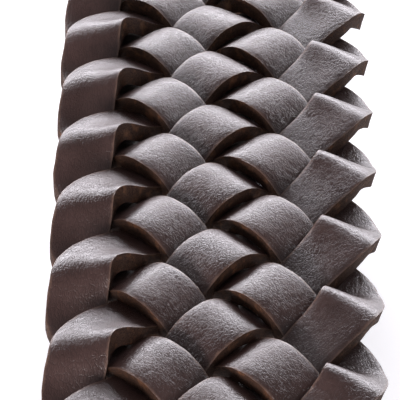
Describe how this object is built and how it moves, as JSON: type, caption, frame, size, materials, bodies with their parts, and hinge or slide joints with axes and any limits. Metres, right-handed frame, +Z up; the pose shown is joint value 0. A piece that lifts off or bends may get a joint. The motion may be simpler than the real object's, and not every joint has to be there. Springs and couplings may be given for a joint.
{
  "type": "headband",
  "caption": "Wide flat braided leather headband, closed behind the head by a woven elastic between riveted leather end tabs with wire rings.",
  "frame": {"origin": "centre of the bounding box at its bottom, on the plane that the outer rivet heads stand on", "axes": "+X across the band, +Y along the band from the left end tab to the right one, +Z up through the loop to the crown"},
  "size_m": [0.038, 0.227, 0.074],
  "materials": {
    "strand_leather": "satin, fine grain",
    "tab_leather": "satin, fine grain",
    "filler_leather": "rough suede side",
    "aged_brass": "aged, satin",
    "elastic_weave": "matte ribbed weave"
  },
  "bodies": {
    "braided_band": {"strand_1": "strand_leather", "strand_2": "strand_leather", "strand_3": "strand_leather", "strand_4": "strand_leather", "strand_5": "strand_leather", "strand_6": "strand_leather", "left_tab": "tab_leather", "left_tab_filler": "filler_leather", "left_front_rivet_cap": "aged_brass", "left_front_rivet_post": "aged_brass", "left_back_rivet_cap": "aged_brass", "left_back_rivet_post": "aged_brass", "right_tab": "tab_leather", "right_tab_filler": "filler_leather", "right_front_rivet_cap": "aged_brass", "right_front_rivet_post": "aged_brass", "right_back_rivet_cap": "aged_brass", "right_back_rivet_post": "aged_brass"},
    "left_ring": {"left_ring": "aged_brass"},
    "right_ring": {"right_ring": "aged_brass"},
    "elastic": {"elastic_band": "elastic_weave"}
  },
  "joints": [
    {"name": "left_ring_swing", "type": "hinge", "parent": "braided_band", "child": "left_ring", "pos_m": [0, -0.04651, 0.0041], "axis": [1, 0, 0], "range_deg": [0, 20]},
    {"name": "elastic_swing", "type": "hinge", "parent": "left_ring", "child": "elastic", "pos_m": [0, -0.03751, 0.0041], "axis": [1, 0, 0], "range_deg": [-20, 0]},
    {"name": "right_ring_swing", "type": "hinge", "parent": "braided_band", "child": "right_ring", "pos_m": [0, 0.04651, 0.0041], "axis": [-1, 0, 0], "range_deg": [0, 20]}
  ],
  "couplings": [
    {"joint": "elastic_swing", "follows": "left_ring_swing", "ratio": -1},
    {"joint": "right_ring_swing", "follows": "left_ring_swing", "ratio": 1}
  ]
}
